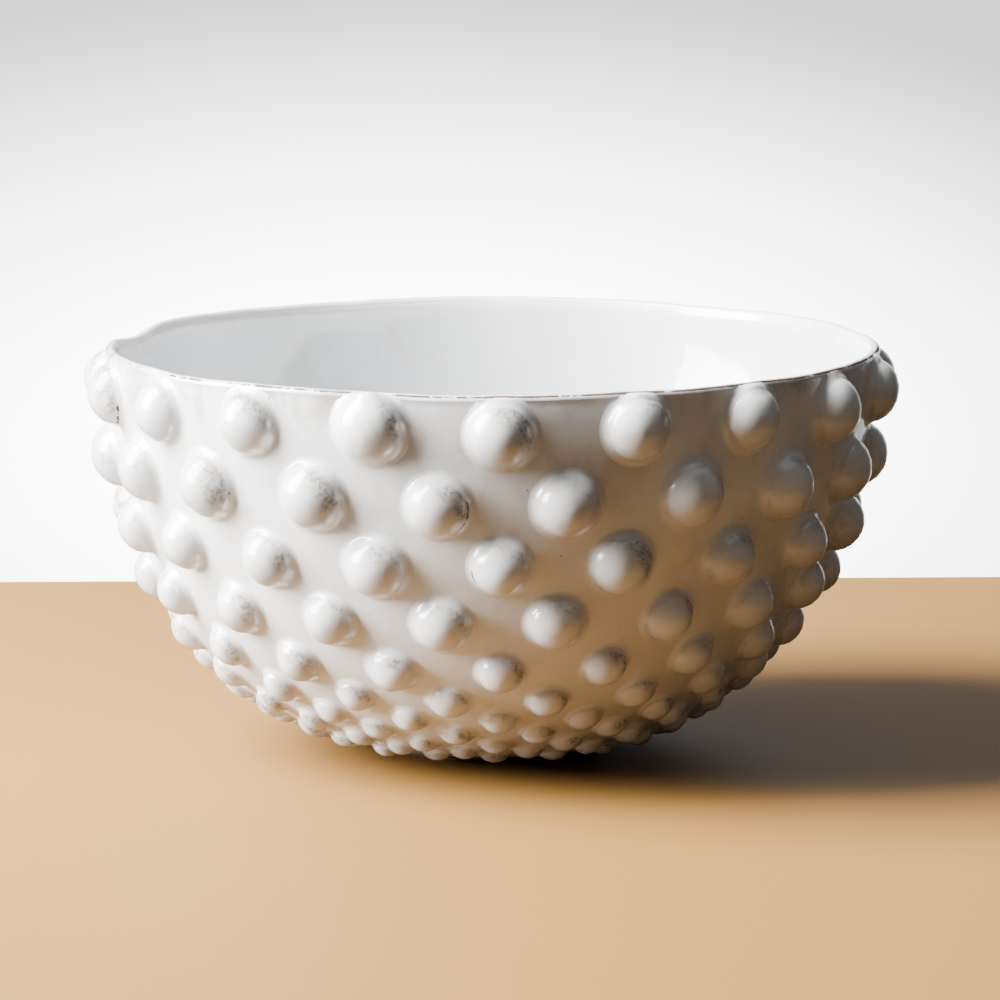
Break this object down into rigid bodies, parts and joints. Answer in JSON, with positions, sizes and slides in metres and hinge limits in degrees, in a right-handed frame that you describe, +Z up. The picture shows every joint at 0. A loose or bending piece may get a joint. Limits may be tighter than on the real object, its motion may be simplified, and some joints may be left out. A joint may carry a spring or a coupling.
{
  "type": "punch bowl",
  "caption": "Large round pottery punch bowl with steep sides, a thin uneven rim, staggered rows of raised round knobs over the outside and a low foot ring.",
  "frame": {"origin": "centre of the foot's underside, on the surface the bowl stands on", "axes": "+Z up along the bowl's axis, towards the open mouth; -Y towards the first knob of the top row"},
  "size_m": [0.3534, 0.3524, 0.1765],
  "materials": {
    "wall_glaze": "milky white glaze over dark clay, glossy",
    "knob_glaze": "milky white glaze over dark clay, glossy, thin at the edges",
    "foot_clay": "bare dark clay, matt"
  },
  "bodies": {
    "root": {"bowl_wall": "wall_glaze", "foot_ring": "foot_clay", "knob_row_01": "knob_glaze", "knob_row_02": "knob_glaze", "knob_row_03": "knob_glaze", "knob_row_04": "knob_glaze", "knob_row_05": "knob_glaze", "knob_row_06": "knob_glaze", "knob_row_07": "knob_glaze", "knob_row_08": "knob_glaze", "knob_row_09": "knob_glaze", "knob_row_10": "knob_glaze", "knob_row_11": "knob_glaze"}
  },
  "joints": []
}
